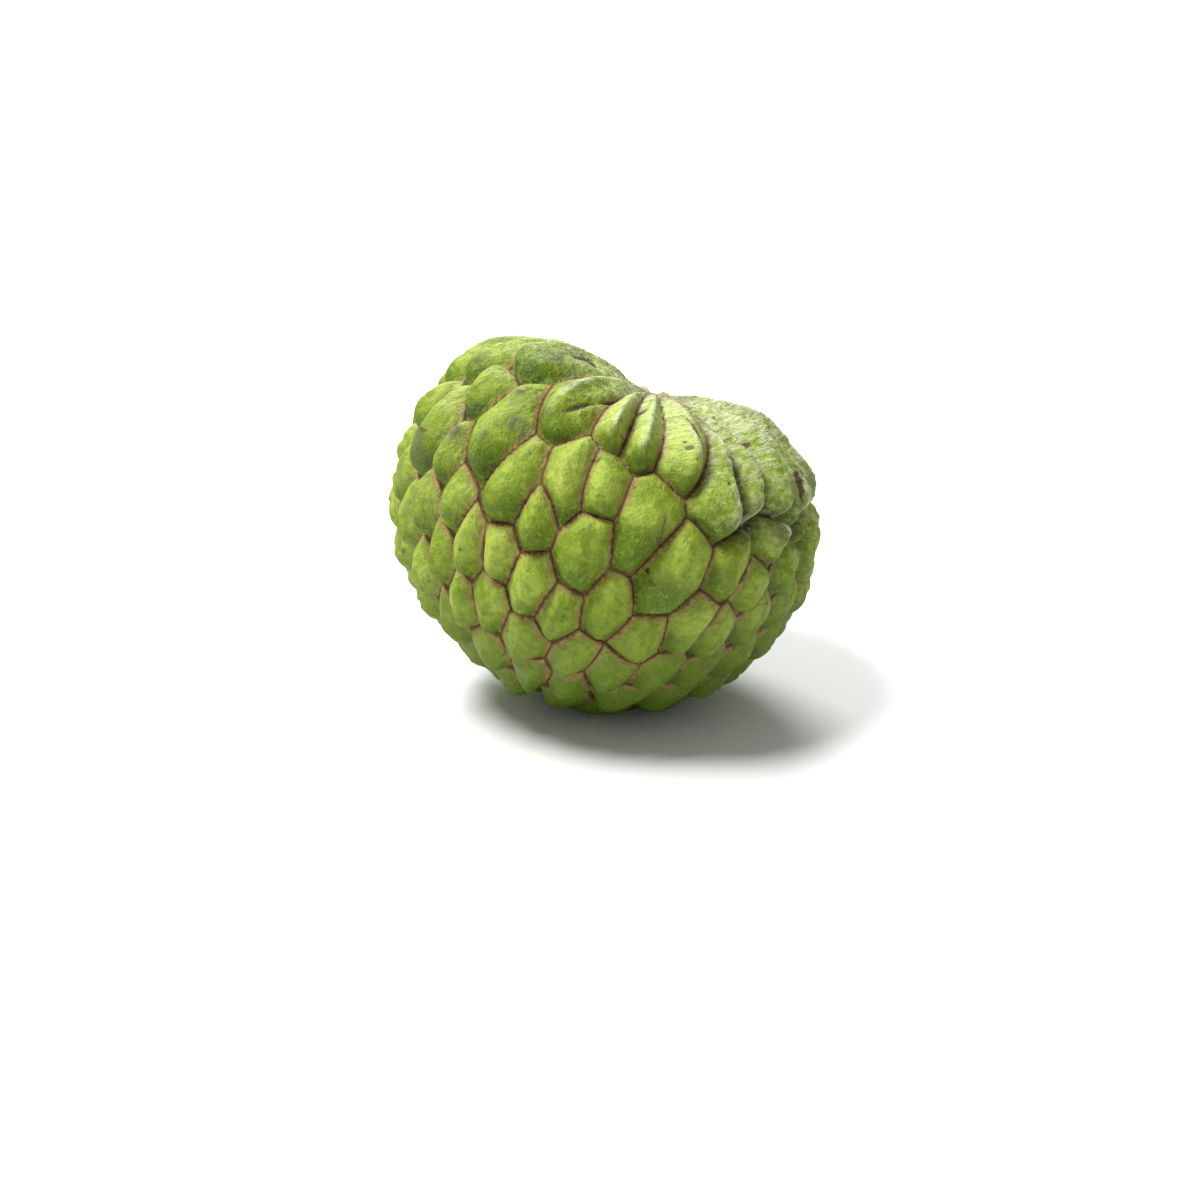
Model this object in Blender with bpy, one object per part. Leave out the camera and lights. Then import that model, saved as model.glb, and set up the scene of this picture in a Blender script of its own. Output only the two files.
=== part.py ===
"""Custard apple: one whole fruit, resting on a small flat spot.

The fruit is one closed solid. Its skin is a pattern of fused carpels, which are the
long rounded plates that meet in narrow grooves and run together as ribs at the stem.

Places on the skin are given by a polar angle, measured from the stem end, and by an
azimuth about the fruit's own axis. The axis leans, so the finished fruit is tilted
and then moved until its flat spot lies on the ground at the origin.
"""

import math

import bmesh
import bpy
import numpy as np
from mathutils import Matrix, Vector, noise

MM = 0.001

# Driving dimensions of the bare body, in metres.
HALF_WIDTH = 48.0 * MM          # across, along the fruit's own X
HALF_DEPTH = 47.0 * MM          # front to back, along its own Y
STEM_HEIGHT = 40.3 * MM         # from the middle to the shoulders, before the hollow
BASE_HEIGHT = 45.0 * MM         # from the middle to the blossom end
HOLLOW_DEPTH = 10.3 * MM        # how far the stem end sinks between the shoulders
HOLLOW_WIDTH = 20.3 * MM        # the hollow is a valley: narrow across,
HOLLOW_LENGTH = 45.0 * MM       # and long from front to back
MEAN_RADIUS = 47.0 * MM

# How the fruit lies: its axis leans to the right and away from the front.
LEAN_RIGHT = math.radians(21.0)
LEAN_BACK = math.radians(15.0)
FLAT_DEPTH = 1.5 * MM           # how much of the lowest point the flat spot takes off
FLAT_RADIUS = 12.5 * MM         # inside this the skin is pressed smooth
PRESSED_RADIUS = 20.0 * MM      # and from here on it has its full relief

# The scar that the stalk leaves at the bottom of the hollow.
SCAR_RADIUS = 2.4 * MM
SCAR_HEIGHT = 0.2 * MM

# Carpels on the front, placed by hand: polar angle and azimuth in degrees, and how
# many millimetres further than an average carpel each one reaches.
FRONT_CARPELS = (
    # shoulder to the left of the stem
    (39, 212, 3), (52, 193, 0), (59, 180, 1),
    # row under that shoulder, from the left
    (92, 180, -1), (82, 200, 4), (75, 226, 5),
    # ribs that run up into the stem end, from the left
    (56, 240, -1), (51, 259, -6), (51, 269, -4), (55, 286, 0), (68, 298, 5),
    (61, 308, -1), (60, 320, 0), (61, 333, 1), (70, 336, -3),
    # second row
    (87, 238, 4), (81, 253, 3), (78, 261, 1), (81, 279, 4), (92, 290, 5), (88, 305, 2),
    # third row
    (94, 248, 1), (97, 262, 0), (113, 277, -4), (121, 293, -1), (110, 303, 1),
    # fourth row, down to the ground
    (122, 261, -3), (140, 274, -2),
)

# The other carpels follow a spiral, each one a golden angle on from the last.
SPIRAL_CARPELS = 170
GOLDEN_ANGLE = 180.0 * (3.0 - math.sqrt(5.0))
SPIRAL_START = 0.52             # cosine of the first carpel's polar angle
SPIRAL_TURN = 20.0              # azimuth of the first carpel, in degrees
CLEARANCE = 13.0 * MM           # a spiral carpel nearer than this to a front one goes
LENGTHENING = 1.8               # carpels are this much longer than wide
RIB_SCALE = 0.85                # keeps the ribs straight where they near the stem
EVENING_ROUNDS = 5              # times that the spiral carpels are spread evenly

# Relief of the skin.
GROOVE_DEPTH = 1.9 * MM         # from the edge of a carpel down to the groove
GROOVE_FLOOR = 0.35 * MM        # rounding of the groove's bottom
GENTLE_WIDTH = 1.7 * MM         # how wide the bank is at a carpel's upper end,
STEEP_WIDTH = 1.5 * MM          # and at its tip
CORNER = 0.7 * MM               # rounding where grooves meet
DOME_RISE = 1.7 * MM            # how far the middle of a carpel swells out
TIP_RISE = 1.4 * MM             # how far a carpel's lower end stands proud
CARPEL_HALF_LENGTH = 12.0 * MM
CREST_RISE = 1.1 * MM           # crest along the ribs at the stem end
CREST_WIDTH = 1.8 * MM
SIDE_DEPTH = 0.8                # grooves between the ribs on the right are deeper,
SIDE_CREST = 1.3                # and their crests higher, by these shares
STEM_SUNK = 2.2 * MM            # how far the very middle of the stem end is sunk

SPHERE_CUTS = 6                 # subdivisions of the starting icosphere
KEPT_FACES = 0.36               # share of its faces that the finished part keeps

SKIN_COLOUR = (0.300, 0.520, 0.070, 1.0)
SKIN_ROUGHNESS = 0.55


def clear_scene():
    for thing in list(bpy.data.objects):
        bpy.data.objects.remove(thing, do_unlink=True)


def skin_material():
    material = bpy.data.materials.new("skin")
    material.use_nodes = True
    shader = material.node_tree.nodes["Principled BSDF"]
    shader.inputs["Base Color"].default_value = SKIN_COLOUR
    shader.inputs["Roughness"].default_value = SKIN_ROUGHNESS
    shader.inputs["Metallic"].default_value = 0.0
    return material


def smooth_step(low, high, value):
    t = np.clip((value - low) / (high - low), 0.0, 1.0)
    return t * t * (3.0 - 2.0 * t)


def angles_of(directions):
    """Polar angle and azimuth, in radians, of unit directions from the middle."""
    polar = np.arccos(np.clip(directions[:, 2], -1.0, 1.0))
    azimuth = np.arctan2(directions[:, 1], directions[:, 0])
    return polar, azimuth


def direction_of(polar, azimuth):
    return np.stack([np.sin(polar) * np.cos(azimuth),
                     np.sin(polar) * np.sin(azimuth),
                     np.cos(polar)], axis=1)


def metric(polar, azimuth, sites, reach):
    """Distance from each place to each carpel, less the carpel's extra reach.

    Distances across are stretched by LENGTHENING, so carpels come out long. Also
    returns the offsets across and along, and how fast the first one grows.
    """
    site_polar, site_azimuth = sites[:, 0], sites[:, 1]
    turn = azimuth[:, None] - site_azimuth[None, :]
    turn = (turn + math.pi) % (2.0 * math.pi) - math.pi
    middle = 0.5 * (polar[:, None] + site_polar[None, :])
    girth = np.sin(middle)
    girth = np.where(middle < math.pi / 2, np.maximum(girth, RIB_SCALE), girth)
    across = turn * girth * MEAN_RADIUS * LENGTHENING
    along = (polar[:, None] - site_polar[None, :]) * MEAN_RADIUS
    distance = np.sqrt(across * across + along * along)
    return distance - reach[None, :], across, along, girth


def spiral_sites():
    number = np.arange(SPIRAL_CARPELS)
    share = (number + 0.5) / SPIRAL_CARPELS
    polar = np.arccos(SPIRAL_START - (SPIRAL_START + 1.0) * share)
    azimuth = np.radians((SPIRAL_TURN + GOLDEN_ANGLE * number) % 360.0)
    return np.stack([polar, azimuth], axis=1)


def carpel_sites():
    """Middles of all carpels as polar angle and azimuth, and their extra reach."""
    front = np.radians(np.array([(row[0], row[1]) for row in FRONT_CARPELS], float))
    front_reach = np.array([row[2] for row in FRONT_CARPELS], float) * MM
    spiral = spiral_sites()
    gap = metric(spiral[:, 0], spiral[:, 1], front, front_reach * 0.5)[0].min(axis=1)
    spiral = spiral[gap > CLEARANCE]
    sites = np.concatenate([front, spiral])
    reach = np.concatenate([front_reach, np.zeros(len(spiral))])

    # Evening out: each spiral carpel moves to the middle of the skin it covers.
    count = 9000
    number = np.arange(count)
    probe_polar = np.arccos(1.0 - 2.0 * (number + 0.5) / count)
    probe_azimuth = np.radians(GOLDEN_ANGLE * number) % (2.0 * math.pi)
    probes = direction_of(probe_polar, probe_azimuth)
    for _ in range(EVENING_ROUNDS):
        owner = metric(probe_polar, probe_azimuth, sites, reach)[0].argmin(axis=1)
        for index in range(len(front), len(sites)):
            own = probes[(owner == index) & (probe_polar > 0.75)]
            if len(own):
                middle = own.mean(axis=0)
                middle /= np.linalg.norm(middle)
                polar, azimuth = angles_of(middle[None, :])
                sites[index] = polar[0], azimuth[0]
    return sites, reach


def survey(polar, azimuth, sites, reach):
    """Distances to the four nearest grooves, owner, and offsets on the own carpel."""
    distance, across, along, girth = metric(polar, azimuth, sites, reach)
    rows = np.arange(len(polar))
    order = np.argsort(distance, axis=1)[:, :5]
    first = order[:, 0]
    true_girth = np.maximum(np.sin(polar), 0.05)

    def slope(index):
        length = np.hypot(across[rows, index], along[rows, index]) + 1e-9
        sideways = across[rows, index] * LENGTHENING * girth[rows, index] / true_girth
        return sideways / length, along[rows, index] / length

    home = slope(first)
    edges = []
    for rank in range(1, 5):
        other = slope(order[:, rank])
        steep = np.maximum(np.hypot(other[0] - home[0], other[1] - home[1]), 0.2)
        edges.append((distance[rows, order[:, rank]] - distance[rows, first]) / steep)
    return (np.stack(edges, axis=1), first, across[rows, first] / LENGTHENING,
            along[rows, first])


def lean_matrix():
    """Rotation that carries the fruit's upright axis to where it leans."""
    axis = Vector((math.sin(LEAN_RIGHT),
                   math.sin(LEAN_BACK) * math.cos(LEAN_RIGHT), 0.0))
    axis.z = math.sqrt(1.0 - axis.length_squared)
    return np.array(Vector((0.0, 0.0, 1.0)).rotation_difference(axis).to_matrix())


def bare_body(directions):
    """Body without its carpels, and the outward direction at each place."""
    up = directions[:, 2] > 0.0
    height = np.where(up, STEM_HEIGHT, BASE_HEIGHT)
    size = np.stack([np.full(len(directions), HALF_WIDTH),
                     np.full(len(directions), HALF_DEPTH), height], axis=1)
    places = directions * size
    outward = directions / size
    outward /= np.linalg.norm(outward, axis=1, keepdims=True)
    hollow = np.exp(-(places[:, 0] / HOLLOW_WIDTH) ** 2
                    - (places[:, 1] / HOLLOW_LENGTH) ** 2)
    places[:, 2] -= HOLLOW_DEPTH * hollow * smooth_step(0.0, 0.35, directions[:, 2])
    return places, outward


def lumps(points, size, seed):
    """Smooth lumps from -1 to 1, each about size across."""
    offset = Vector((seed * 3.1, seed * 7.7, seed * 1.3))
    return np.array([noise.noise(Vector(p) / size + offset) for p in points])


def skin(directions):
    """Places on the finished skin, tilted as the fruit lies, before it is set down."""
    polar, azimuth = angles_of(directions)
    sites, reach = carpel_sites()
    edges, owner, across, along = survey(polar, azimuth, sites, reach)
    places, outward = bare_body(directions)
    from_axis = np.linalg.norm(places[:, :2], axis=1)
    at_stem = directions[:, 2] > 0.0

    # Banks rise from the groove, gently at the upper end and steeply at the tip.
    edge = edges.min(axis=1)
    place = np.clip(along / CARPEL_HALF_LENGTH, -1.0, 1.0)
    tip = smooth_step(-0.5, 0.9, place)
    round_off = CORNER * (1.0 + tip)
    soft_edge = -round_off * np.log(np.exp(-edges / round_off[:, None]).sum(axis=1))
    soft_edge = np.clip(soft_edge, 0.0, None)
    blended = 0.3 * edge + 0.7 * soft_edge
    bank = np.sqrt(blended ** 2 + GROOVE_FLOOR ** 2) - GROOVE_FLOOR
    rib_half = np.where(at_stem, 0.3 * MM + 0.11 * from_axis, 1.0)
    width = GENTLE_WIDTH + (STEEP_WIDTH - GENTLE_WIDTH) * tip
    width = np.minimum(width, np.maximum(0.5 * rib_half, 0.35 * MM))
    pillow = np.tanh(bank / width)
    on_side = smooth_step(0.15, 0.55, directions[:, 0]) * at_stem
    on_side *= smooth_step(math.radians(88), math.radians(70), polar)
    depth = GROOVE_DEPTH * np.where(at_stem, smooth_step(0.0, 20.0 * MM, from_axis), 1.0)
    depth *= (1.0 + SIDE_DEPTH * on_side) * (1.0 + 0.45 * tip)
    relief = depth * (pillow - 1.0)
    relief += TIP_RISE * place * np.tanh(bank / (2.2 * width))
    swell = 1.0 + 0.5 * smooth_step(0.2, 0.7, -directions[:, 0])
    relief += DOME_RISE * (swell * (1.0 - np.exp(-(bank / (4.5 * MM)) ** 1.5)) - 0.5)

    # Ribs carry a crest that leans outwards from the front.
    ribbed = np.where(at_stem, smooth_step(math.radians(72), math.radians(50), polar), 0)
    lean_out = np.clip(1.4 * np.sin(azimuth + 0.5 * math.pi), -1.0, 1.0)
    ribbed = np.maximum(ribbed, on_side)
    crest = np.exp(-((across - 0.5 * rib_half * lean_out) / CREST_WIDTH) ** 2) * ribbed
    rise = CREST_RISE * (1.0 + SIDE_CREST * on_side)
    relief += rise * crest * pillow * smooth_step(4.0 * MM, 14.0 * MM, from_axis)

    # No two carpels swell alike.
    carpel_random = (np.sin(np.arange(len(sites)) * 12.9898 + 4.1) * 43758.5453) % 1.0
    relief += 1.3 * MM * on_side * lumps(places, 11.0 * MM, 5.0)
    relief += 0.7 * MM * lumps(places, 22.0 * MM, 1.0)
    relief += 0.55 * MM * lumps(places, 8.0 * MM, 2.0) * pillow
    relief += 0.7 * MM * (carpel_random[owner] - 0.5) * pillow

    # Where the fruit is pressed on the ground the relief fades out.
    lean = lean_matrix()
    tilted = places @ lean.T
    lowest = tilted[tilted[:, 2].argmin()]
    off = np.linalg.norm(tilted - lowest, axis=1)
    relief *= smooth_step(FLAT_RADIUS, PRESSED_RADIUS, off)

    # The ribs run out at the stem, where the stalk's scar stands up.
    fade = smooth_step(0.3 * SCAR_RADIUS, 1.5 * SCAR_RADIUS, from_axis)
    relief *= np.where(at_stem, fade, 1.0)
    scar = smooth_step(1.2 * SCAR_RADIUS, 0.6 * SCAR_RADIUS, from_axis) * at_stem
    sunk = STEM_SUNK * smooth_step(9.0 * MM, 2.0 * MM, from_axis) * at_stem
    places = places + outward * (relief - sunk)[:, None]
    places[:, 2] += SCAR_HEIGHT * scar
    return places @ lean.T


def shaped_fruit():
    """Icosphere with its vertices moved onto the skin."""
    bpy.ops.mesh.primitive_ico_sphere_add(subdivisions=SPHERE_CUTS, radius=1.0)
    fruit = bpy.context.active_object
    fruit.name = "fruit"
    fruit.data.name = "fruit"
    count = len(fruit.data.vertices)
    flat = np.empty(count * 3)
    fruit.data.vertices.foreach_get("co", flat)
    directions = flat.reshape(count, 3)
    directions = directions / np.linalg.norm(directions, axis=1, keepdims=True)
    fruit.data.vertices.foreach_set("co", skin(directions).ravel())
    fruit.data.update()
    return fruit


def thin_out(fruit):
    """Fewer faces, most of them kept where the skin bends at the grooves."""
    modifier = fruit.modifiers.new("thin_out", "DECIMATE")
    modifier.ratio = KEPT_FACES
    graph = bpy.context.evaluated_depsgraph_get()
    mesh = bpy.data.meshes.new_from_object(fruit.evaluated_get(graph))
    fruit.modifiers.clear()
    fruit.data = mesh
    mesh.name = "fruit"


def set_down(fruit):
    """Cuts the flat spot and puts it on the ground, with the fruit over the origin."""
    mesh = bmesh.new()
    mesh.from_mesh(fruit.data)
    ground = min(vertex.co.z for vertex in mesh.verts) + FLAT_DEPTH
    everything = list(mesh.verts) + list(mesh.edges) + list(mesh.faces)
    cut = bmesh.ops.bisect_plane(mesh, geom=everything, dist=1e-7,
                                 plane_co=(0.0, 0.0, ground), plane_no=(0.0, 0.0, 1.0),
                                 clear_inner=True)
    rim = [item for item in cut["geom_cut"] if isinstance(item, bmesh.types.BMEdge)]
    bmesh.ops.edgenet_fill(mesh, edges=rim)
    bmesh.ops.recalc_face_normals(mesh, faces=mesh.faces)
    bmesh.ops.triangulate(mesh, faces=mesh.faces)
    low = Vector([min(vertex.co[axis] for vertex in mesh.verts) for axis in range(3)])
    high = Vector([max(vertex.co[axis] for vertex in mesh.verts) for axis in range(3)])
    middle = (low + high) / 2.0
    bmesh.ops.transform(mesh, verts=mesh.verts,
                        matrix=Matrix.Translation((-middle.x, -middle.y, -low.z)))
    mesh.to_mesh(fruit.data)
    mesh.free()
    fruit.data.shade_smooth()


def build():
    clear_scene()
    collection = bpy.data.collections.new("custard_apple")
    bpy.context.scene.collection.children.link(collection)
    fruit = shaped_fruit()
    thin_out(fruit)
    set_down(fruit)
    fruit.data.materials.clear()
    fruit.data.materials.append(skin_material())
    for owner in list(fruit.users_collection):
        owner.objects.unlink(fruit)
    collection.objects.link(fruit)


build()
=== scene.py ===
# %% [markdown]
# # A custard apple
#
# One whole fruit on a pale floor. Its skin is made of fused carpels: long, rounded
# plates that meet in narrow brown grooves and run up into the stem end as ribs. The
# part's solid is loaded first, because the finished fruit has to keep its size and
# its place.

# %% Load the part
import math

import bmesh
import bpy
import numpy as np
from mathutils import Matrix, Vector, noise


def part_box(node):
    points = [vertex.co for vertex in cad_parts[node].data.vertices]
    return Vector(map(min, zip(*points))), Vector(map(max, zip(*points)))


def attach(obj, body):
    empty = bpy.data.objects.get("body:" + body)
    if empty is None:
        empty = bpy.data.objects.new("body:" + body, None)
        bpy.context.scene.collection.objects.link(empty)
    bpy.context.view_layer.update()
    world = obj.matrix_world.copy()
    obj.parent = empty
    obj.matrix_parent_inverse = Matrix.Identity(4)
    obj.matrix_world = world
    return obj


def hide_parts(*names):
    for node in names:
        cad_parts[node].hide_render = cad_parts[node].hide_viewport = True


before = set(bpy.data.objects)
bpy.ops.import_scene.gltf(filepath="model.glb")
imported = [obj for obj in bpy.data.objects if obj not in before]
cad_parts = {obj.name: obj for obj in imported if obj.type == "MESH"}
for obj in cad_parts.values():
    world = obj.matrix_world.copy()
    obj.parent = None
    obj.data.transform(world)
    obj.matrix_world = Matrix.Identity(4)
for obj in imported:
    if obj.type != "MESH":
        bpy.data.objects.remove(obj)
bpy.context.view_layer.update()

MM = 0.001

# %% [markdown]
# ## The bare body
#
# Under its carpels a custard apple is a squat heart: an ellipsoid that is a little
# flatter at the stem end, where a shallow valley runs between two shoulders. It could
# be sculpted, but a formula keeps it equal to the part's solid, so places on the skin
# are given by two angles: the polar angle from the stem end, and the azimuth about
# the fruit's own axis.

# %% Sizes of the body
HALF_WIDTH = 48.0 * MM
HALF_DEPTH = 47.0 * MM
STEM_HEIGHT = 40.3 * MM
BASE_HEIGHT = 45.0 * MM
HOLLOW_DEPTH = 10.3 * MM
HOLLOW_WIDTH = 20.3 * MM
HOLLOW_LENGTH = 45.0 * MM
MEAN_RADIUS = 47.0 * MM
SCAR_RADIUS = 2.4 * MM
SCAR_HEIGHT = 0.2 * MM
STEM_SUNK = 2.2 * MM
LEAN_RIGHT = math.radians(21.0)
LEAN_BACK = math.radians(15.0)
FLAT_DEPTH = 1.5 * MM
FLAT_RADIUS = 12.5 * MM
PRESSED_RADIUS = 20.0 * MM


def smooth_step(low, high, value):
    t = np.clip((value - low) / (high - low), 0.0, 1.0)
    return t * t * (3.0 - 2.0 * t)


def angles_of(directions):
    """Polar angle and azimuth, in radians, of unit directions from the middle."""
    polar = np.arccos(np.clip(directions[:, 2], -1.0, 1.0))
    azimuth = np.arctan2(directions[:, 1], directions[:, 0])
    return polar, azimuth


def direction_of(polar, azimuth):
    return np.stack([np.sin(polar) * np.cos(azimuth),
                     np.sin(polar) * np.sin(azimuth),
                     np.cos(polar)], axis=-1)


def bare_body(directions):
    """Body without its carpels, and the outward direction at each place."""
    height = np.where(directions[:, 2] > 0.0, STEM_HEIGHT, BASE_HEIGHT)
    size = np.stack([np.full(len(directions), HALF_WIDTH),
                     np.full(len(directions), HALF_DEPTH), height], axis=1)
    places = directions * size
    outward = directions / size
    outward /= np.linalg.norm(outward, axis=1, keepdims=True)
    hollow = np.exp(-(places[:, 0] / HOLLOW_WIDTH) ** 2
                    - (places[:, 1] / HOLLOW_LENGTH) ** 2)
    places[:, 2] -= HOLLOW_DEPTH * hollow * smooth_step(0.0, 0.35, directions[:, 2])
    return places, outward


def lean_matrix():
    """Rotation that carries the fruit's upright axis to where it leans."""
    axis = Vector((math.sin(LEAN_RIGHT),
                   math.sin(LEAN_BACK) * math.cos(LEAN_RIGHT), 0.0))
    axis.z = math.sqrt(1.0 - axis.length_squared)
    return np.array(Vector((0.0, 0.0, 1.0)).rotation_difference(axis).to_matrix())


# %% [markdown]
# ## Where the carpels sit
#
# Each carpel grew from one flower part, a golden angle round from the last, and later
# squeezed by its neighbours. So a spiral of points, spread evenly, gives the hidden
# carpels, and the ones on the front are placed one by one. The skin goes to whichever
# carpel is nearest, measured with the distances across the fruit stretched, which
# makes the carpels long.

# %% Place the carpels
FRONT_CARPELS = (
    # shoulder to the left of the stem: polar angle, azimuth, extra reach in mm
    (39, 212, 3), (52, 193, 0), (59, 180, 1),
    # row under that shoulder, from the left
    (92, 180, -1), (82, 200, 4), (75, 226, 5),
    # ribs that run up into the stem end, from the left
    (56, 240, -1), (51, 259, -6), (51, 269, -4), (55, 286, 0), (68, 298, 5),
    (61, 308, -1), (60, 320, 0), (61, 333, 1), (70, 336, -3),
    # second row
    (87, 238, 4), (81, 253, 3), (78, 261, 1), (81, 279, 4), (92, 290, 5), (88, 305, 2),
    # third row
    (94, 248, 1), (97, 262, 0), (113, 277, -4), (121, 293, -1), (110, 303, 1),
    # fourth row, down to the ground
    (122, 261, -3), (140, 274, -2),
)
SPIRAL_CARPELS = 170
GOLDEN_ANGLE = 180.0 * (3.0 - math.sqrt(5.0))
SPIRAL_START = 0.52
SPIRAL_TURN = 20.0
CLEARANCE = 13.0 * MM
LENGTHENING = 1.8
RIB_SCALE = 0.85
EVENING_ROUNDS = 5
CARPEL_HALF_LENGTH = 12.0 * MM


def metric(polar, azimuth, sites, reach):
    """Stretched distance from each place to each carpel, less the carpel's reach."""
    turn = azimuth[:, None] - sites[None, :, 1]
    turn = (turn + math.pi) % (2.0 * math.pi) - math.pi
    middle = 0.5 * (polar[:, None] + sites[None, :, 0])
    girth = np.sin(middle)
    girth = np.where(middle < math.pi / 2, np.maximum(girth, RIB_SCALE), girth)
    across = turn * girth * MEAN_RADIUS * LENGTHENING
    along = (polar[:, None] - sites[None, :, 0]) * MEAN_RADIUS
    return np.hypot(across, along) - reach[None, :], across, along, girth


def carpel_sites():
    """Middles of all carpels as polar angle and azimuth, and their extra reach."""
    front = np.radians(np.array([(row[0], row[1]) for row in FRONT_CARPELS], float))
    front_reach = np.array([row[2] for row in FRONT_CARPELS], float) * MM
    number = np.arange(SPIRAL_CARPELS)
    share = (number + 0.5) / SPIRAL_CARPELS
    spiral = np.stack([np.arccos(SPIRAL_START - (SPIRAL_START + 1.0) * share),
                       np.radians((SPIRAL_TURN + GOLDEN_ANGLE * number) % 360.0)],
                      axis=1)
    gap = metric(spiral[:, 0], spiral[:, 1], front, front_reach * 0.5)[0].min(axis=1)
    spiral = spiral[gap > CLEARANCE]
    sites = np.concatenate([front, spiral])
    reach = np.concatenate([front_reach, np.zeros(len(spiral))])

    count = 9000
    number = np.arange(count)
    probe_polar = np.arccos(1.0 - 2.0 * (number + 0.5) / count)
    probe_azimuth = np.radians(GOLDEN_ANGLE * number) % (2.0 * math.pi)
    probes = direction_of(probe_polar, probe_azimuth)
    for _ in range(EVENING_ROUNDS):
        owner = metric(probe_polar, probe_azimuth, sites, reach)[0].argmin(axis=1)
        for index in range(len(front), len(sites)):
            own = probes[(owner == index) & (probe_polar > 0.75)]
            if len(own):
                middle = own.mean(axis=0)
                middle /= np.linalg.norm(middle)
                polar, azimuth = angles_of(middle[None, :])
                sites[index] = polar[0], azimuth[0]
    return sites, reach


SITES, REACH = carpel_sites()
print(len(SITES), "carpels,", len(FRONT_CARPELS), "of them placed by hand")


# %% Measure the skin against the carpels
def survey(polar, azimuth):
    """For each place: the five nearest carpels, how far the grooves to four of them
    are, the place's offset across and along its own carpel, and the steepness that
    turns a difference of stretched distances into a distance over the skin."""
    parts = []
    for start in range(0, len(polar), 8192):
        here = slice(start, start + 8192)
        distance, across, along, girth = metric(polar[here], azimuth[here],
                                                SITES, REACH)
        rows = np.arange(distance.shape[0])
        order = np.argpartition(distance, 4, axis=1)[:, :5]
        near = np.take_along_axis(distance, order, axis=1)
        order = np.take_along_axis(order, near.argsort(axis=1), axis=1)
        true_girth = np.maximum(np.sin(polar[here]), 0.05)

        def slope(index):
            length = np.hypot(across[rows, index], along[rows, index]) + 1e-9
            widen = LENGTHENING * girth[rows, index] / true_girth
            return across[rows, index] * widen / length, along[rows, index] / length

        first = order[:, 0]
        home = slope(first)
        edges, steepness = [], []
        for rank in range(1, 5):
            other = slope(order[:, rank])
            steep = np.maximum(np.hypot(other[0] - home[0], other[1] - home[1]), 0.2)
            edges.append((distance[rows, order[:, rank]] - distance[rows, first]) / steep)
            steepness.append(steep)
        parts.append((order, np.stack(edges, axis=1), steepness[0],
                      across[rows, first] / LENGTHENING, along[rows, first]))
    return [np.concatenate(column) for column in zip(*parts)]


# %% [markdown]
# ## The ball of skin
#
# A sphere with poles pinches its faces together, so the skin starts as a cube that is
# subdivided in edit mode. Its grid is then bent so that the faces come out nearly
# equal all over the ball.

# %% Make the ball
CUTS = 127

bpy.ops.object.select_all(action="DESELECT")
bpy.ops.mesh.primitive_cube_add(size=2.0)
fruit = bpy.context.active_object
fruit.name = "custard_apple"
fruit.data.name = "custard_apple"
bpy.ops.object.mode_set(mode="EDIT")
bpy.ops.mesh.select_all(action="SELECT")
bpy.ops.mesh.subdivide(number_cuts=CUTS)
bpy.ops.object.mode_set(mode="OBJECT")
print(len(fruit.data.vertices), "vertices,", len(fruit.data.polygons), "faces")


def vertex_places(mesh):
    flat = np.empty(len(mesh.vertices) * 3)
    mesh.vertices.foreach_get("co", flat)
    return flat.reshape(-1, 3)


directions = np.tan(vertex_places(fruit.data) * (math.pi / 4.0))
directions /= np.linalg.norm(directions, axis=1, keepdims=True)

polar, azimuth = angles_of(directions)
order, edges, steepness, across, along = survey(polar, azimuth)
owner = order[:, 0]

# %% [markdown]
# ## Relief
#
# A carpel rises gently at the end nearer the stem, where it comes out from under its
# upper neighbours, and ends in a steep rounded tip. Grooves that meet are blended, so
# the corners of a carpel are round. Near the stem the carpels are ribs, with a crest
# that leans outwards from the front.

# %% Raise the banks of the grooves
GROOVE_DEPTH = 1.9 * MM
GROOVE_FLOOR = 0.35 * MM    # rounding of a groove's bottom
GENTLE_WIDTH = 1.7 * MM     # of a bank at a carpel's upper end,
STEEP_WIDTH = 1.5 * MM      # and at its tip
NARROWEST = 0.35 * MM
CORNER = 0.7 * MM
RIB_WIDENING = 0.11
DEEPER_TIP = 0.45           # shares by which grooves are deeper at the tips,
DEEPER_SIDE = 0.8           # and between the ribs on the right

places, outward = bare_body(directions)
from_axis = np.linalg.norm(places[:, :2], axis=1)
at_stem = directions[:, 2] > 0.0

place = np.clip(along / CARPEL_HALF_LENGTH, -1.0, 1.0)
tip = smooth_step(-0.5, 0.9, place)
round_off = CORNER * (1.0 + tip)
soft_edge = -round_off * np.log(np.exp(-edges / round_off[:, None]).sum(axis=1))
soft_edge = np.clip(soft_edge, 0.0, None)
bank = 0.3 * edges.min(axis=1) + 0.7 * soft_edge
bank = np.sqrt(bank ** 2 + GROOVE_FLOOR ** 2) - GROOVE_FLOOR

rib_half = np.where(at_stem, 0.3 * MM + RIB_WIDENING * from_axis, 1.0)
width = GENTLE_WIDTH + (STEEP_WIDTH - GENTLE_WIDTH) * tip
width = np.minimum(width, np.maximum(0.5 * rib_half, NARROWEST))
pillow = np.tanh(bank / width)

on_side = smooth_step(0.15, 0.55, directions[:, 0]) * at_stem
on_side *= smooth_step(math.radians(88), math.radians(70), polar)
depth = GROOVE_DEPTH * np.where(at_stem, smooth_step(0.0, 20.0 * MM, from_axis), 1.0)
depth *= (1.0 + DEEPER_SIDE * on_side) * (1.0 + DEEPER_TIP * tip)
relief = depth * (pillow - 1.0)
print("deepest groove:", round(-relief.min() / MM, 1), "mm")

# %% Swell the carpels
TIP_RISE = 1.4 * MM         # how far a lower end stands proud of the upper one
DOME_RISE = 1.7 * MM
DOME_REACH = 4.5 * MM
LEFT_SWELL = 0.5            # share by which the left shoulder swells more

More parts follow.
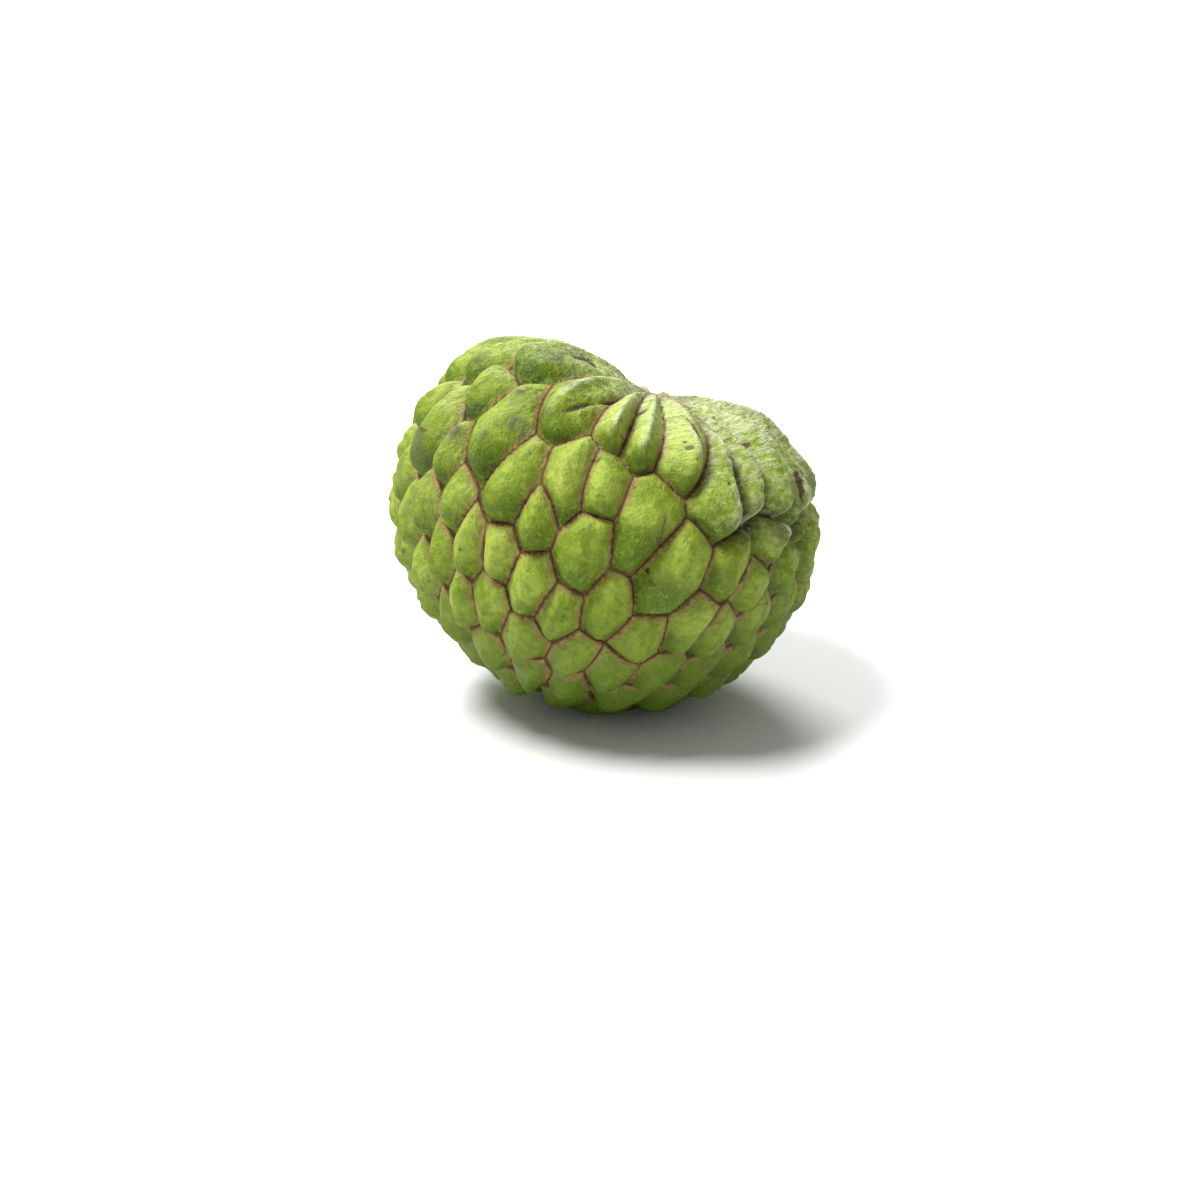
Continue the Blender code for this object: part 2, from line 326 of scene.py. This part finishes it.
relief += TIP_RISE * place * np.tanh(bank / (2.2 * width))
swell = 1.0 + LEFT_SWELL * smooth_step(0.2, 0.7, -directions[:, 0])
dome = 1.0 - np.exp(-(bank / DOME_REACH) ** 1.5)
relief += DOME_RISE * (swell * dome - 0.5)
print("highest dome:", round(relief.max() / MM, 1), "mm")

# %% Crest the ribs
CREST_RISE = 1.1 * MM
CREST_WIDTH = 1.8 * MM
HIGHER_SIDE = 1.3           # share by which the right side's crests are higher

ribbed = np.where(at_stem, smooth_step(math.radians(72), math.radians(50), polar), 0.0)
ribbed = np.maximum(ribbed, on_side)
lean_out = np.clip(1.4 * np.sin(azimuth + 0.5 * math.pi), -1.0, 1.0)
crest = np.exp(-((across - 0.5 * rib_half * lean_out) / CREST_WIDTH) ** 2) * ribbed
relief += (CREST_RISE * (1.0 + HIGHER_SIDE * on_side) * crest * pillow
           * smooth_step(4.0 * MM, 14.0 * MM, from_axis))
print(round(100 * (ribbed > 0.5).mean()), "percent of the skin is ribbed")

# %% [markdown]
# ## Lumps and wrinkles
#
# No two carpels swell alike. A number between 0 and 1 for each carpel comes from the
# far digits of a sine, so it's the same on every run, and so are the noise lumps.
# Ribs are wrinkled across where they run into the hollow.

# %% Lumps and wrinkles
WRINKLE = 2.0 * MM
WRINKLE_RISE = 0.32 * MM


def per_carpel(step, start, spread):
    """One number from 0 to 1 for each carpel, with no pattern."""
    return (np.sin(np.arange(len(SITES)) * step + start) * spread) % 1.0


def lumps(points, size, seed):
    """Smooth lumps from -1 to 1, each about size across."""
    offset = Vector((seed * 3.1, seed * 7.7, seed * 1.3))
    return np.array([noise.noise(Vector(p) / size + offset) for p in points])


carpel_random = per_carpel(12.9898, 4.1, 43758.5453)
carpel_random_two = per_carpel(78.233, 1.7, 12543.137)

coarse = lumps(places, 8.0 * MM, 2.0)
relief += 1.3 * MM * on_side * lumps(places, 11.0 * MM, 5.0)
relief += 0.7 * MM * lumps(places, 22.0 * MM, 1.0)
relief += 0.55 * MM * coarse * pillow
relief += 0.22 * MM * lumps(places, 3.2 * MM, 3.0) * pillow
relief += 0.7 * MM * (carpel_random[owner] - 0.5) * pillow

wrinkled = np.where(at_stem, smooth_step(27.0 * MM, 12.0 * MM, from_axis), 0.0)
wrinkled = wrinkled * 0.8 + 0.6 * ribbed * smooth_step(0.15, 0.6, directions[:, 0])
uneven = np.clip(0.5 + 1.5 * lumps(places, 5.0 * MM, 4.0), 0.0, 1.0)
phase = polar * MEAN_RADIUS / WRINKLE + 5.0 * carpel_random[owner] + 2.5 * coarse
relief += WRINKLE_RISE * np.sin(2.0 * math.pi * phase) * wrinkled * uneven * pillow
print("relief, in mm:", np.round([relief.min() / MM, relief.max() / MM], 1))

# %% [markdown]
# ## Creases
#
# Some carpels have a dried crease that runs down from the stem. Each one is a line
# between two places on the skin.

# %% Press the creases in
CREASES = (
    # polar angle and azimuth of both ends, in degrees, and depth in mm
    (60, 242, 44, 247, 0.8),
    (46, 246, 22, 262, 1.1),
    (24, 266, 50, 263, 1.0),
    (30, 284, 56, 291, 0.5),
    (64, 236, 50, 232, 0.4),
    (16, 306, 40, 293, 0.9),
    (24, 216, 36, 222, 0.6),
    (74, 280, 92, 281, 0.4),
    (46, 338, 66, 332, 0.8),
    (40, 30, 58, 36, 0.8),
    (44, 95, 60, 92, 0.8),
    (42, 150, 60, 156, 0.8),
)
CREASE_WIDTH = 0.75 * MM
CREASE_WANDER = 1.4 * MM


def flat_place(polar, azimuth, around):
    """Places laid flat near an azimuth, in metres across and along."""
    turn = (azimuth - around + math.pi) % (2.0 * math.pi) - math.pi
    return np.stack([turn * np.sin(polar) * MEAN_RADIUS, polar * MEAN_RADIUS], axis=-1)


crease = np.zeros(len(polar))
for polar_a, azimuth_a, polar_b, azimuth_b, crease_depth in CREASES:
    ends = np.radians([[polar_a, azimuth_a], [polar_b, azimuth_b]])
    around = ends[:, 1].mean()
    spot = flat_place(polar, azimuth, around)
    start, end = flat_place(ends[:, 0], ends[:, 1], around)
    run = end - start
    share = np.clip(((spot - start) @ run) / (run @ run), 0.0, 1.0)
    off = np.linalg.norm(spot - start - share[:, None] * run
                         + CREASE_WANDER * coarse[:, None], axis=1)
    mark = np.exp(-(off / CREASE_WIDTH) ** 2) * np.sin(math.pi * (0.1 + 0.8 * share))
    crease = np.maximum(crease, mark)
    relief -= crease_depth * MM * mark
print(len(CREASES), "creases")

# %% [markdown]
# ## Worn places
#
# The shoulders are speckled with grey where they rubbed on leaves, and a few small
# brown scabs sit on the ribs. Each is a soft round patch on the skin.

# %% Mark the worn places
GREY_PATCHES = (
    # polar angle and azimuth in degrees, and radius in mm
    (40, 222, 6), (31, 216, 5), (60, 226, 4), (70, 232, 3.5), (46, 236, 3.5),
    (61, 240, 1.6), (81, 212, 4), (90, 200, 5), (52, 300, 3), (66, 303, 3.5),
    (58, 335, 5), (74, 322, 4), (55, 20, 5), (70, 60, 5), (60, 110, 6), (75, 150, 6),
    (95, 80, 5), (100, 170, 6), (88, 283, 1.6),
)
SCABS = (
    (50, 284, 1.4), (47, 283, 0.8), (34, 337, 2.0), (42, 315, 1.1), (61, 298, 0.9),
    (65, 302, 0.9), (98, 282, 0.8), (27, 222, 1.8), (63, 45, 1.6), (80, 120, 1.3),
)
SCAB_DEPTH = 0.25 * MM


def patches(rows):
    """Soft round patches with uneven rims, from 0 to 1."""
    total = np.zeros(len(polar))
    for row_polar, row_azimuth, radius in rows:
        around = math.radians(row_azimuth)
        spot = flat_place(polar, azimuth, around)
        middle = flat_place(np.radians([row_polar]), np.array([around]), around)
        off = np.linalg.norm(spot - middle, axis=1) / (radius * MM)
        total = np.maximum(total, smooth_step(1.25, 0.35, off + 0.35 * coarse))
    return total


grey_patch = patches(GREY_PATCHES)
scab = patches(SCABS)
relief -= SCAB_DEPTH * scab
print(len(GREY_PATCHES), "grey patches,", len(SCABS), "scabs")

# %% [markdown]
# ## Stem end and flat spot
#
# The middle of the stem end is sunk and smooth, with a low round scar. Underneath,
# the relief fades out and the skin is pressed flat, so that the fruit can rest.

# %% Stalk scar and pressed skin
lean = lean_matrix()
tilted = places @ lean.T
lowest = tilted[tilted[:, 2].argmin()]
pressed = smooth_step(FLAT_RADIUS, PRESSED_RADIUS,
                      np.linalg.norm(tilted - lowest, axis=1))
fade = np.where(at_stem, smooth_step(0.3 * SCAR_RADIUS, 1.5 * SCAR_RADIUS, from_axis),
                1.0)
scar = np.where(at_stem, smooth_step(1.2 * SCAR_RADIUS, 0.6 * SCAR_RADIUS, from_axis),
                0.0)
sunk = STEM_SUNK * np.where(at_stem, smooth_step(9.0 * MM, 2.0 * MM, from_axis), 0.0)
places = places + outward * (relief * pressed * fade - sunk)[:, None]
places[:, 2] += SCAR_HEIGHT * scar
places = places @ lean.T

# %% Set the fruit down
ground = tilted[:, 2].min() + FLAT_DEPTH
places[:, 2] = np.maximum(places[:, 2], ground)
low, high = places.min(axis=0), places.max(axis=0)
cad_low, cad_high = (np.array(corner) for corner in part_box("fruit"))
body_middle = np.array([*(0.5 * (cad_low + cad_high - low - high))[:2], -ground])
places += body_middle
fruit.data.vertices.foreach_set("co", places.ravel())
fruit.data.update()
fruit.data.shade_smooth()
print("fruit, in mm:", np.round((places.max(axis=0) - places.min(axis=0)) / MM, 1))

# %% [markdown]
# ## What the colours need to know
#
# The grooves are thinner than a face. So each face keeps, at its corners, its
# distances to the three nearest carpels: between two corners these grow evenly, and
# where the two smallest are equal the material finds the groove as a crisp line.

# %% Keep the distances and masks
def keep(name, values):
    layer = fruit.data.attributes.new(name, "FLOAT", "POINT")
    layer.data.foreach_set("value", np.ascontiguousarray(values, np.float32))


keep("tip", tip)
keep("tone", carpel_random[owner])
keep("tone_two", carpel_random_two[owner])
keep("from_axis", np.where(at_stem, from_axis / MM, 60.0))
keep("crest", crest)
keep("fold", crease)
keep("grey_patch", grey_patch)
keep("scab", scab)
keep("side", on_side)
# low: nearness to the floor, which drives the painted shade on the lower part of the
# fruit
keep("low", smooth_step(42.0 * MM, 12.0 * MM, places[:, 2]))
keep("left", smooth_step(0.2, 0.9, -directions[:, 0]))
keep("right", smooth_step(0.25, 0.75, directions[:, 0]))

CARPEL_SPACING = 37.0        # keeps the streaks of two carpels apart
layer = fruit.data.attributes.new("on_carpel", "FLOAT_VECTOR", "POINT")
layer.data.foreach_set("vector", np.stack(
    [across / MM, along / MM, owner * CARPEL_SPACING], axis=1).astype(np.float32).ravel())

corner = np.empty(len(fruit.data.loops), np.int32)
fruit.data.loops.foreach_get("vertex_index", corner)
corner = corner.reshape(-1, 4)
centres = directions[corner].mean(axis=1)
centres /= np.linalg.norm(centres, axis=1, keepdims=True)
face_order, _, face_steepness, _, _ = survey(*angles_of(centres))
nearest = np.empty((len(corner), 4, 3), np.float32)
for turn in range(4):
    vertex = corner[:, turn]
    for rank in range(3):
        site = face_order[:, rank]
        away = (azimuth[vertex] - SITES[site, 1] + math.pi) % (2.0 * math.pi) - math.pi
        middle = 0.5 * (polar[vertex] + SITES[site, 0])
        girth = np.sin(middle)
        girth = np.where(middle < math.pi / 2, np.maximum(girth, RIB_SCALE), girth)
        length = np.hypot(away * girth * MEAN_RADIUS * LENGTHENING,
                          (polar[vertex] - SITES[site, 0]) * MEAN_RADIUS)
        nearest[:, turn, rank] = (length - REACH[site]) / face_steepness / MM
layer = fruit.data.attributes.new("nearest", "FLOAT_VECTOR", "CORNER")
layer.data.foreach_set("vector", nearest.ravel())
print("kept", len(fruit.data.attributes), "attributes")

# %% [markdown]
# ## A small language for shaders
#
# A material is a sum of masks, which reads best as arithmetic. This class wraps a
# socket, so that an expression on sockets adds the Math nodes for it.

# %% Shader helper
class Value:
    def __init__(self, paint, socket):
        self.paint, self.socket = paint, socket

    def _math(self, operation, *values):
        return self.paint.node("ShaderNodeMath", {"operation": operation}, *values)

    def __add__(self, other):
        return self._math("ADD", self, other)

    def __radd__(self, other):
        return self._math("ADD", other, self)

    def __sub__(self, other):
        return self._math("SUBTRACT", self, other)

    def __rsub__(self, other):
        return self._math("SUBTRACT", other, self)

    def __mul__(self, other):
        return self._math("MULTIPLY", self, other)

    def __rmul__(self, other):
        return self._math("MULTIPLY", other, self)

    def at_most(self, other):
        return self._math("MINIMUM", self, other)

    def at_least(self, other):
        return self._math("MAXIMUM", self, other)


class Paint:
    """Builds one material's nodes."""

    def __init__(self, name):
        self.material = bpy.data.materials.new(name)
        self.material.use_nodes = True
        self.tree = self.material.node_tree
        self.shader = self.tree.nodes["Principled BSDF"]

    def node(self, kind, settings=None, *values, output=0, **named):
        made = self.tree.nodes.new(kind)
        for key, setting in (settings or {}).items():
            setattr(made, key, setting)
        for key, value in list(enumerate(values)) + list(named.items()):
            if value is None:
                continue
            socket = made.inputs[key] if isinstance(key, int) else \
                made.inputs[key.replace("_", " ")]
            if isinstance(value, Value):
                self.tree.links.new(value.socket, socket)
            else:
                socket.default_value = value
        return Value(self, made.outputs[output])

    def attribute(self, name, output="Fac"):
        return self.node("ShaderNodeAttribute", {"attribute_name": name},
                         output=output)

    def ramp(self, value, low, high):
        """0 below low and 1 above high, smooth between."""
        return self.node("ShaderNodeMapRange", {"interpolation_type": "SMOOTHSTEP"},
                         value, low, high, 0.0, 1.0)

    def noise(self, where, scale, detail, roughness):
        return self.node("ShaderNodeTexNoise", None, Vector=where, Scale=scale,
                         Detail=detail, Roughness=roughness)

    def stretch(self, where, factors):
        return self.node("ShaderNodeVectorMath", {"operation": "MULTIPLY"},
                         where, factors)

    def blend(self, share, below, above):
        """Colour above laid over colour below, share of it."""
        made = self.tree.nodes.new("ShaderNodeMix")
        made.data_type = "RGBA"
        for index, value in ((0, share), (6, below), (7, above)):
            if isinstance(value, Value):
                self.tree.links.new(value.socket, made.inputs[index])
            else:
                made.inputs[index].default_value = value
        return Value(self, made.outputs[2])

    def feed(self, name, value):
        if isinstance(value, Value):
            self.tree.links.new(value.socket, self.shader.inputs[name])
        else:
            self.shader.inputs[name].default_value = value


# %% [markdown]
# ## The skin's colours
#
# The skin is yellow green, with painted light and shade on each carpel: lighter high
# up and deeper green at its rounded tip.
# Along the grooves runs a thin brown line in a tan margin. The left shoulder, the
# right side and the ribs at the stem are scuffed grey and brown.

# %% Masks of the skin
skin = Paint("custard_apple_skin")
coordinate = skin.node("ShaderNodeTexCoord", output="Object")
on_carpel = skin.attribute("on_carpel", output="Vector")
tip_mask = skin.attribute("tip")
tone = skin.attribute("tone")
tone_two = skin.attribute("tone_two")
from_axis_mm = skin.attribute("from_axis")
crest_mask = skin.attribute("crest")
crease_mask = skin.attribute("fold")
grey_patch_mask = skin.attribute("grey_patch")
scab_mask = skin.attribute("scab")
painted_low_shade_mask = skin.attribute("low")
side_ribs = skin.attribute("side")
left_side = skin.attribute("left")
right_side = skin.attribute("right")

near = skin.node("ShaderNodeSeparateXYZ", None, skin.attribute("nearest", "Vector"))
one, two, three = (Value(skin, near.socket.node.outputs[axis]) for axis in range(3))
least = one.at_most(two).at_most(three)
second = one.at_most(two).at_least(one.at_least(two).at_most(three))
groove = second - least

broad = skin.noise(coordinate, 60.0, 3.0, 0.55)
patchy = skin.noise(coordinate, 170.0, 4.0, 0.62)
fine = skin.noise(coordinate, 520.0, 3.0, 0.6)
grain = skin.noise(coordinate, 1900.0, 2.0, 0.6)
streaks = skin.noise(skin.stretch(on_carpel, (0.9, 0.2, 1.0)), 1.0, 4.0, 0.62)
wrinkles = skin.noise(skin.stretch(on_carpel, (0.30, 0.70, 1.0)), 1.0, 4.0, 0.6)

# %% Paint the skin
GREEN = (0.235, 0.325, 0.016, 1.0)
DEEP_GREEN = (0.080, 0.150, 0.001, 1.0)
PALE_GREEN = (0.390, 0.490, 0.065, 1.0)
OLIVE = (0.130, 0.150, 0.022, 1.0)
TAN = (0.340, 0.220, 0.090, 1.0)
RUST = (0.270, 0.100, 0.035, 1.0)
DARK_BROWN = (0.060, 0.028, 0.012, 1.0)
# Whitish colour: real bloom for the frost, and partly a painted highlight on the crests.
BLOOM_AND_HIGHLIGHT = (0.520, 0.540, 0.340, 1.0)
GREY = (0.110, 0.115, 0.065, 1.0)
# Colour of the painted shade in the rib valleys.
VALLEY_SHADE = (0.110, 0.135, 0.020, 1.0)
STEM_BROWN = (0.270, 0.200, 0.150, 1.0)

# Painted light and shade: the tip term makes each carpel lighter high up.
colour = skin.blend(skin.ramp(broad * 0.5 + patchy * 0.5 + (tone - 0.5) * 0.16
                              - tip_mask * 0.10, 0.36, 0.60), GREEN, PALE_GREEN)
# Painted shade: each carpel turns deep green towards its rounded tip.
colour = skin.blend(skin.ramp(tip_mask + (patchy - 0.5) * 0.9, 0.30, 1.05) * 0.95,
                    colour, DEEP_GREEN)
colour = skin.blend(skin.ramp(fine * 0.6 + patchy * 0.4, 0.42, 0.54) * -0.35 + 0.35,
                    colour, DEEP_GREEN)
colour = skin.blend(skin.ramp(grain * 0.5 + fine * 0.5, 0.50, 0.62) * 0.35,
                    colour, PALE_GREEN)
colour = skin.blend(skin.ramp(patchy, 0.56, 0.70) * (tone_two * 0.6), colour, OLIVE)
# Painted shade: the lower part of the fruit turns deep green.
colour = skin.blend(painted_low_shade_mask * 0.8, colour, DEEP_GREEN)

# Pale margins at the upper end of a carpel, brown margins along every groove.
upper = 1.0 - tip_mask
wide = skin.ramp(from_axis_mm, 16.0, 34.0)
pale_margin = 1.0 - skin.ramp(groove + (patchy - 0.5) * 1.4 - upper * wide * 0.6,
                              0.0, 1.1)
colour = skin.blend(pale_margin * (0.25 + wide * 0.4), colour, TAN)
rust = 1.0 - skin.ramp(groove + (fine - 0.5) * 0.8, 0.10, 0.60)
colour = skin.blend(rust * (0.55 + (patchy - 0.5) * 1.5).at_least(0.15), colour, RUST)
line = 1.0 - skin.ramp(groove + (fine - 0.5) * 0.3, 0.03, 0.20)
colour = skin.blend(line * (0.62 + (patchy - 0.5) * 2.2).at_most(1.0), colour,
                    DARK_BROWN)

# Painted shade: the valleys between the ribs on the right side are darkened.
valley = (1.0 - skin.ramp(groove + (patchy - 0.5) * 2.0, 0.3, 2.6)) * side_ribs
colour = skin.blend(valley * 0.9, colour, VALLEY_SHADE)

# Frost: the ribs are dusted with a whitish bloom, most of it where wrinkles stand up.
high = 1.0 - skin.ramp(from_axis_mm, 20.0, 44.0)
frost = skin.ramp(wrinkles * 0.5 + fine * 0.5 + high * 0.07 + side_ribs * 0.05,
                  0.50, 0.64) * (high * 0.8 + side_ribs * 0.6).at_most(1.0)
colour = skin.blend(frost * 0.7, colour, BLOOM_AND_HIGHLIGHT)

# Scuffs: grey patches on the shoulders. On the crests, pale bloom that is partly a
# painted highlight.
worn = (left_side * 0.9 + right_side * 0.9 + crest_mask * 0.5).at_most(1.0)
scuff = skin.ramp(patchy * 0.6 + streaks * 0.4 + worn * 0.08, 0.55, 0.66) * worn
scuff = (scuff * 0.6).at_least(grey_patch_mask
                               * skin.ramp(fine * 0.5 + patchy * 0.5, 0.40, 0.56))
colour = skin.blend(scuff * 0.85, colour, GREY)
# Pale bloom and painted highlight along the rib crests, stronger on the right side.
crest_bloom_and_highlight = skin.ramp(crest_mask * 0.8 + (streaks - 0.5) * 1.6 + side_ribs * 0.1,
                  0.50, 1.0)
colour = skin.blend(crest_bloom_and_highlight * (0.6 + side_ribs * 0.3), colour, BLOOM_AND_HIGHLIGHT)

# Brown: the pinched ends of the ribs, the creases, the scabs and small specks.
near_stem = 1.0 - skin.ramp(from_axis_mm + (wrinkles - 0.5) * 26.0, 5.0, 16.0)
colour = skin.blend(near_stem * 0.7, colour, STEM_BROWN)
colour = skin.blend(skin.ramp(crease_mask + (fine - 0.5) * 0.6, 0.3, 0.7) * 0.9,
                    colour, DARK_BROWN)
colour = skin.blend(skin.ramp(scab_mask + (fine - 0.5) * 0.8, 0.45, 0.75) * 0.9,
                    colour, DARK_BROWN)

specks = skin.ramp(skin.noise(coordinate, 330.0, 2.0, 0.5), 0.68, 0.73)
colour = skin.blend(specks * 0.6, colour, DARK_BROWN)

# %% Finish the skin
skin.feed("Base Color", colour)
skin.feed("Roughness", (0.50 + patchy * 0.16 + rust * 0.15 + scuff * 0.2
                         + frost * 0.1).at_most(0.9))
skin.feed("Specular IOR Level", 0.3)
height = (patchy * 0.8 + fine * 0.9 + grain * 0.35 + streaks * 0.5 - line * 0.3
          + wrinkles * (0.4 + high * 1.1))
bump = skin.node("ShaderNodeBump", None, Strength=0.8, Distance=0.0009, Height=height)
skin.feed("Normal", bump)

fruit.data.materials.clear()
fruit.data.materials.append(skin.material)
print("skin material:", len(skin.tree.nodes), "nodes")

# %% Hand the fruit over to the part
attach(fruit, "root")
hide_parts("fruit")

# %% [markdown]
# ## Floor, light and camera
#
# A white floor that ends far away, a bright even surround, and two large soft lamps
# give the light of a packshot. The camera looks down on the fruit a little.

# %% Floor
bpy.ops.object.select_all(action="DESELECT")
bpy.ops.mesh.primitive_plane_add(size=6.0, location=(0.0, 0.0, 0.0))
floor = bpy.context.active_object
floor.name = "floor"
floor_paint = Paint("pale_floor")
floor_paint.feed("Base Color", (0.86, 0.86, 0.86, 1.0))
floor_paint.feed("Roughness", 0.9)
floor.data.materials.append(floor_paint.material)

# %% Light
world = bpy.data.worlds.new("surround")
bpy.context.scene.world = world
world.use_nodes = True
world.node_tree.nodes["Background"].inputs["Color"].default_value = (1.0, 1.0, 1.0, 1.0)
world.node_tree.nodes["Background"].inputs["Strength"].default_value = 0.34


def soft_lamp(name, place, size, watts):
    bpy.ops.object.light_add(type="AREA", location=place)
    lamp = bpy.context.active_object
    lamp.name = name
    lamp.data.shape = "DISK"
    lamp.data.size = size
    lamp.data.energy = watts
    aim = Vector((0.0, 0.0, 0.04)) - Vector(place)
    lamp.rotation_euler = aim.to_track_quat("-Z", "Y").to_euler()
    return lamp


soft_lamp("key_lamp", (-0.45, -0.10, 1.0), 0.40, 13.5)
soft_lamp("back_lamp", (-0.05, 0.80, 0.75), 0.5, 12.0)

# %% Camera
ELEVATION = math.radians(21.0)
DISTANCE = 0.80
FRAME_WIDTH = 0.270
AIM_RIGHT = -1.5 * MM
AIM_UP = -20.2 * MM

bpy.ops.object.camera_add()
camera = bpy.context.active_object
camera.name = "camera"
camera.data.sensor_width = 36.0
camera.data.lens = 36.0 * DISTANCE / FRAME_WIDTH
up = Vector((0.0, math.sin(ELEVATION), math.cos(ELEVATION)))
target = Vector(body_middle) + Vector((AIM_RIGHT, 0.0, 0.0)) + AIM_UP * up
look = Vector((0.0, math.cos(ELEVATION), -math.sin(ELEVATION)))
camera.location = target - DISTANCE * look
camera.rotation_euler = look.to_track_quat("-Z", "Y").to_euler()
camera.data.clip_end = 20.0
bpy.context.scene.camera = camera
bpy.context.scene.view_settings.view_transform = "Standard"
